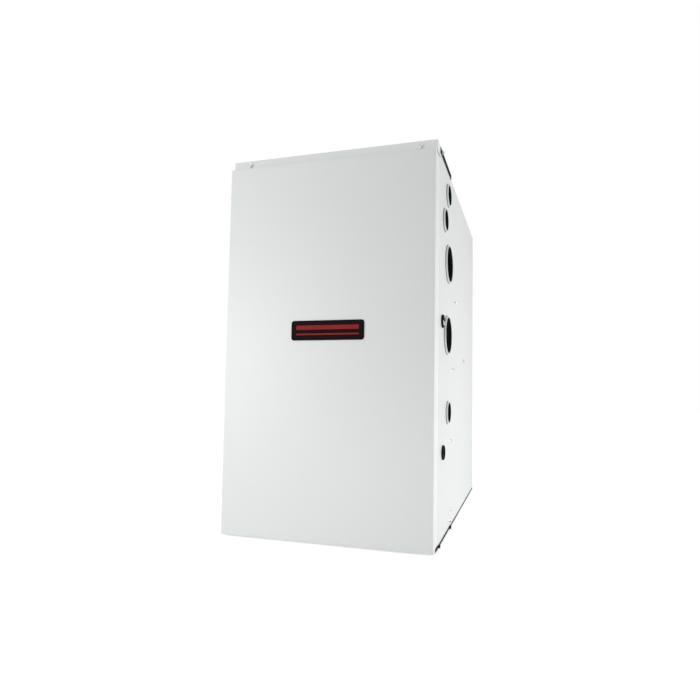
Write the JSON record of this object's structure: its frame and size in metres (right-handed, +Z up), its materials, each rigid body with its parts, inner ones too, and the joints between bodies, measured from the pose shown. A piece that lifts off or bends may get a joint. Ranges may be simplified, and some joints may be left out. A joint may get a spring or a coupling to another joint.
{
  "type": "forced air gas furnace",
  "caption": "Upright forced air gas furnace in a painted steel cabinet with a lift-off front door, side pipe holes, heat exchangers, burners, inducer and blower inside.",
  "frame": {"origin": "on the floor, at the middle of the cabinet's width and depth", "axes": "+X to the right seen from the front, +Y from the door to the back, +Z up"},
  "size_m": [0.499, 0.724, 0.8775],
  "materials": {
    "painted_steel": "smooth light grey powder coat",
    "galvanized_steel": "galvanized sheet",
    "aluminized_steel": "dull aluminized sheet",
    "aluminium": "bare",
    "black_plastic": "matt moulded",
    "grey_plastic": "matt moulded",
    "white_plastic": "matt moulded",
    "black_paint": "black enamel",
    "badge_film": "printed gloss film",
    "insulation": "glass wool with foil face",
    "rubber": "soft black hose",
    "circuit_board": "green board",
    "ceramic": "unglazed"
  },
  "bodies": {
    "cabinet": {"right_bushing_upper_air": "grey_plastic", "right_bushing_gas_line": "grey_plastic", "right_bushing_upper_vent": "grey_plastic", "right_bushing_drain": "grey_plastic", "right_bushing_lower_vent": "grey_plastic", "right_bushing_lower_pipe": "grey_plastic", "right_bushing_wiring": "grey_plastic", "left_plug_gas_line": "grey_plastic", "left_plug_upper_vent": "grey_plastic", "left_plug_lower_vent": "grey_plastic", "left_side_panel": "painted_steel", "right_side_panel": "painted_steel", "back_panel": "painted_steel", "top_plate": "painted_steel", "base_pan": "painted_steel", "vestibule_panel": "galvanized_steel", "blower_deck": "galvanized_steel", "vent_bushing": "grey_plastic", "air_intake_bushing": "grey_plastic", "heat_exchanger_tube_left": "aluminized_steel", "heat_exchanger_tube_middle": "aluminized_steel", "heat_exchanger_tube_right": "aluminized_steel", "hot_collector_box": "aluminized_steel", "secondary_coil": "aluminium", "cold_header": "black_plastic", "burner_rack": "galvanized_steel", "burner_left": "aluminized_steel", "burner_middle": "aluminized_steel", "burner_right": "aluminized_steel", "gas_manifold": "black_paint", "gas_valve": "aluminium", "igniter": "ceramic", "flame_sensor": "ceramic", "limit_switch": "white_plastic", "inducer_housing": "black_plastic", "inducer_motor": "black_paint", "vent_pipe": "white_plastic", "pressure_switch": "grey_plastic", "pressure_hose": "rubber", "condensate_trap": "white_plastic", "drain_hose": "rubber", "blower_housing": "galvanized_steel", "blower_motor": "black_paint", "motor_mount": "galvanized_steel", "control_bracket": "galvanized_steel", "control_board": "circuit_board", "transformer": "black_paint", "door_switch": "black_plastic", "junction_box": "galvanized_steel", "junction_box_cover": "galvanized_steel"},
    "door": {"front_door": "painted_steel", "door_seal_rail": "galvanized_steel", "door_insulation": "insulation", "badge": "badge_film"},
    "blower_rotor": {"blower_wheel": "galvanized_steel", "blower_shaft": "aluminium"},
    "inducer_rotor": {"inducer_wheel": "aluminium"},
    "valve_switch": {"gas_valve_switch": "white_plastic"},
    "plunger": {"door_switch_plunger": "white_plastic"}
  },
  "joints": [
    {"name": "door_pull", "type": "slide", "parent": "cabinet", "child": "door", "axis": [0, -1, 0], "range_m": [0, 0.5]},
    {"name": "blower_spin", "type": "hinge", "parent": "cabinet", "child": "blower_rotor", "pos_m": [0, 0.0815, 0.2228], "axis": [1, 0, 0], "continuous": true},
    {"name": "inducer_spin", "type": "hinge", "parent": "cabinet", "child": "inducer_rotor", "pos_m": [-0.11, -0.2, 0.5], "axis": [0, 1, 0], "continuous": true},
    {"name": "valve_switch_slide", "type": "slide", "parent": "cabinet", "child": "valve_switch", "axis": [1, 0, 0], "range_m": [0, 0.008]},
    {"name": "door_switch_press", "type": "slide", "parent": "cabinet", "child": "plunger", "axis": [0, 1, 0], "range_m": [0, 0.005], "stiffness_N_per_m": 150}
  ]
}
